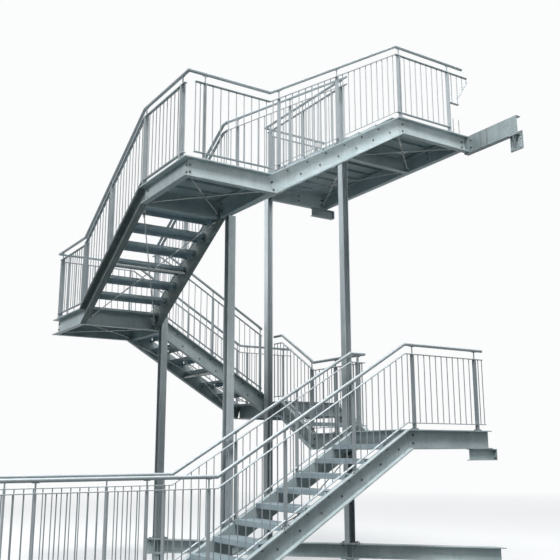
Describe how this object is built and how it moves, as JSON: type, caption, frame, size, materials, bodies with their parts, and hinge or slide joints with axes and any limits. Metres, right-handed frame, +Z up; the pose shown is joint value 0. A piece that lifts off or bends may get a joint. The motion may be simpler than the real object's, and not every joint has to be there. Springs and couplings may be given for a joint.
{
  "type": "fire escape stair",
  "caption": "Outside galvanised steel fire escape stair around an open well, with short flights, corner landings, posts, railings and a level approach walkway along a wall.",
  "frame": {"origin": "middle of the bounding box in plan, on the ground under the foot plates", "axes": "+X along the wall to the right, +Y into the wall, +Z up"},
  "size_m": [5.63, 7.5, 7.5035],
  "materials": {
    "posts": "hot-dip galvanised, matt with faint spangle",
    "base_beam": "hot-dip galvanised, matt with faint spangle",
    "landings": "hot-dip galvanised, matt with faint spangle",
    "stringers": "hot-dip galvanised, matt with faint spangle",
    "treads": "hot-dip galvanised, matt with faint spangle",
    "rods": "hot-dip galvanised, matt with faint spangle",
    "wall_steel": "hot-dip galvanised, matt with faint spangle",
    "railings": "hot-dip galvanised, matt with faint spangle"
  },
  "bodies": {
    "root": {"post_1": "posts", "post_2": "posts", "post_3": "posts", "post_4": "posts", "base_beam": "base_beam", "walkway": "landings", "flight_1_stringers": "stringers", "flight_2_stringers": "stringers", "flight_3_stringers": "stringers", "flight_4_stringers": "stringers", "flight_5_stringers": "stringers", "flight_1_treads": "treads", "flight_2_treads": "treads", "flight_3_treads": "treads", "flight_4_treads": "treads", "flight_5_treads": "treads", "landing_1": "landings", "landing_2": "landings", "landing_3": "landings", "landing_4": "landings", "landing_5": "landings", "bracing": "rods", "wall_supports": "wall_steel", "walkway_rail_right": "railings", "walkway_rail_left": "railings", "flight_1_rail_right": "railings", "flight_1_rail_left": "railings", "landing_1_rail_right": "railings", "landing_1_rail_front": "railings", "flight_2_rail": "railings", "landing_2_rail_end": "railings", "flight_3_rail_outer": "railings", "flight_3_rail_inner": "railings", "landing_3_rail_end": "railings", "landing_3_rail_front": "railings", "flight_4_rail_outer": "railings", "flight_4_rail_inner": "railings", "landing_4_rail_front": "railings", "landing_4_rail_right": "railings", "flight_5_rail_right": "railings", "flight_5_rail_inner": "railings", "landing_5_rail_right": "railings", "landing_5_rail_front": "railings", "landing_5_rail_left": "railings"}
  },
  "joints": []
}
